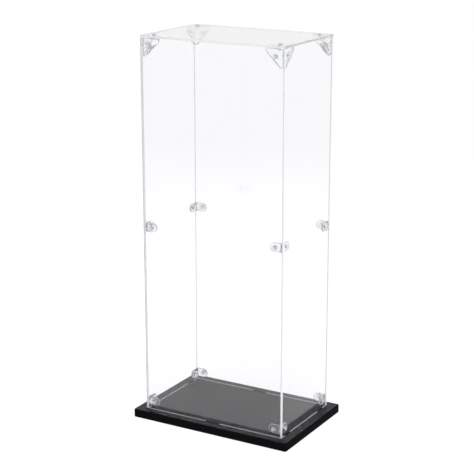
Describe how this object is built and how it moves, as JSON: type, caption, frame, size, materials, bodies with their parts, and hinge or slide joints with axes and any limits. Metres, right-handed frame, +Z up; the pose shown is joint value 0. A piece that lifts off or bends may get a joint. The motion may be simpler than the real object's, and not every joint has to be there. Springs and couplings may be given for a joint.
{
  "type": "display case",
  "caption": "Tall clear acrylic display case: a lift-off cover of flat panels joined by riveted corner brackets and edge clips, on a flat black base board.",
  "frame": {"origin": "centre of the base board's underside, on the surface that the case stands on", "axes": "+Z up, along the case's height; X along its long side; the front panel looks towards -Y"},
  "size_m": [0.278, 0.184, 0.6156],
  "materials": {
    "clear_acrylic": "polished",
    "clear_fitting": "gloss",
    "clear_rivet": "gloss",
    "black_board": "gloss"
  },
  "bodies": {
    "base": {"base_board": "black_board"},
    "cover": {"front_panel": "clear_acrylic", "back_panel": "clear_acrylic", "left_panel": "clear_acrylic", "right_panel": "clear_acrylic", "top_panel": "clear_acrylic", "top_bracket_front_left": "clear_fitting", "top_bracket_front_right": "clear_fitting", "top_bracket_back_right": "clear_fitting", "top_bracket_back_left": "clear_fitting", "bottom_clip_front_left": "clear_fitting", "bottom_clip_front_right": "clear_fitting", "bottom_clip_back_right": "clear_fitting", "bottom_clip_back_left": "clear_fitting", "middle_clip_front_left": "clear_fitting", "middle_clip_front_right": "clear_fitting", "middle_clip_back_right": "clear_fitting", "middle_clip_back_left": "clear_fitting", "rivet_top_front_left_on_front": "clear_rivet", "rivet_top_front_left_on_side": "clear_rivet", "rivet_middle_front_left_on_front": "clear_rivet", "rivet_middle_front_left_on_side": "clear_rivet", "rivet_bottom_front_left_on_front": "clear_rivet", "rivet_bottom_front_left_on_side": "clear_rivet", "rivet_top_front_left_on_top": "clear_rivet", "rivet_top_front_right_on_front": "clear_rivet", "rivet_top_front_right_on_side": "clear_rivet", "rivet_middle_front_right_on_front": "clear_rivet", "rivet_middle_front_right_on_side": "clear_rivet", "rivet_bottom_front_right_on_front": "clear_rivet", "rivet_bottom_front_right_on_side": "clear_rivet", "rivet_top_front_right_on_top": "clear_rivet", "rivet_top_back_right_on_back": "clear_rivet", "rivet_top_back_right_on_side": "clear_rivet", "rivet_middle_back_right_on_back": "clear_rivet", "rivet_middle_back_right_on_side": "clear_rivet", "rivet_bottom_back_right_on_back": "clear_rivet", "rivet_bottom_back_right_on_side": "clear_rivet", "rivet_top_back_right_on_top": "clear_rivet", "rivet_top_back_left_on_back": "clear_rivet", "rivet_top_back_left_on_side": "clear_rivet", "rivet_middle_back_left_on_back": "clear_rivet", "rivet_middle_back_left_on_side": "clear_rivet", "rivet_bottom_back_left_on_back": "clear_rivet", "rivet_bottom_back_left_on_side": "clear_rivet", "rivet_top_back_left_on_top": "clear_rivet"}
  },
  "joints": [
    {"name": "cover_lift", "type": "slide", "parent": "base", "child": "cover", "axis": [0, 0, 1], "range_m": [0, 0.62]}
  ]
}
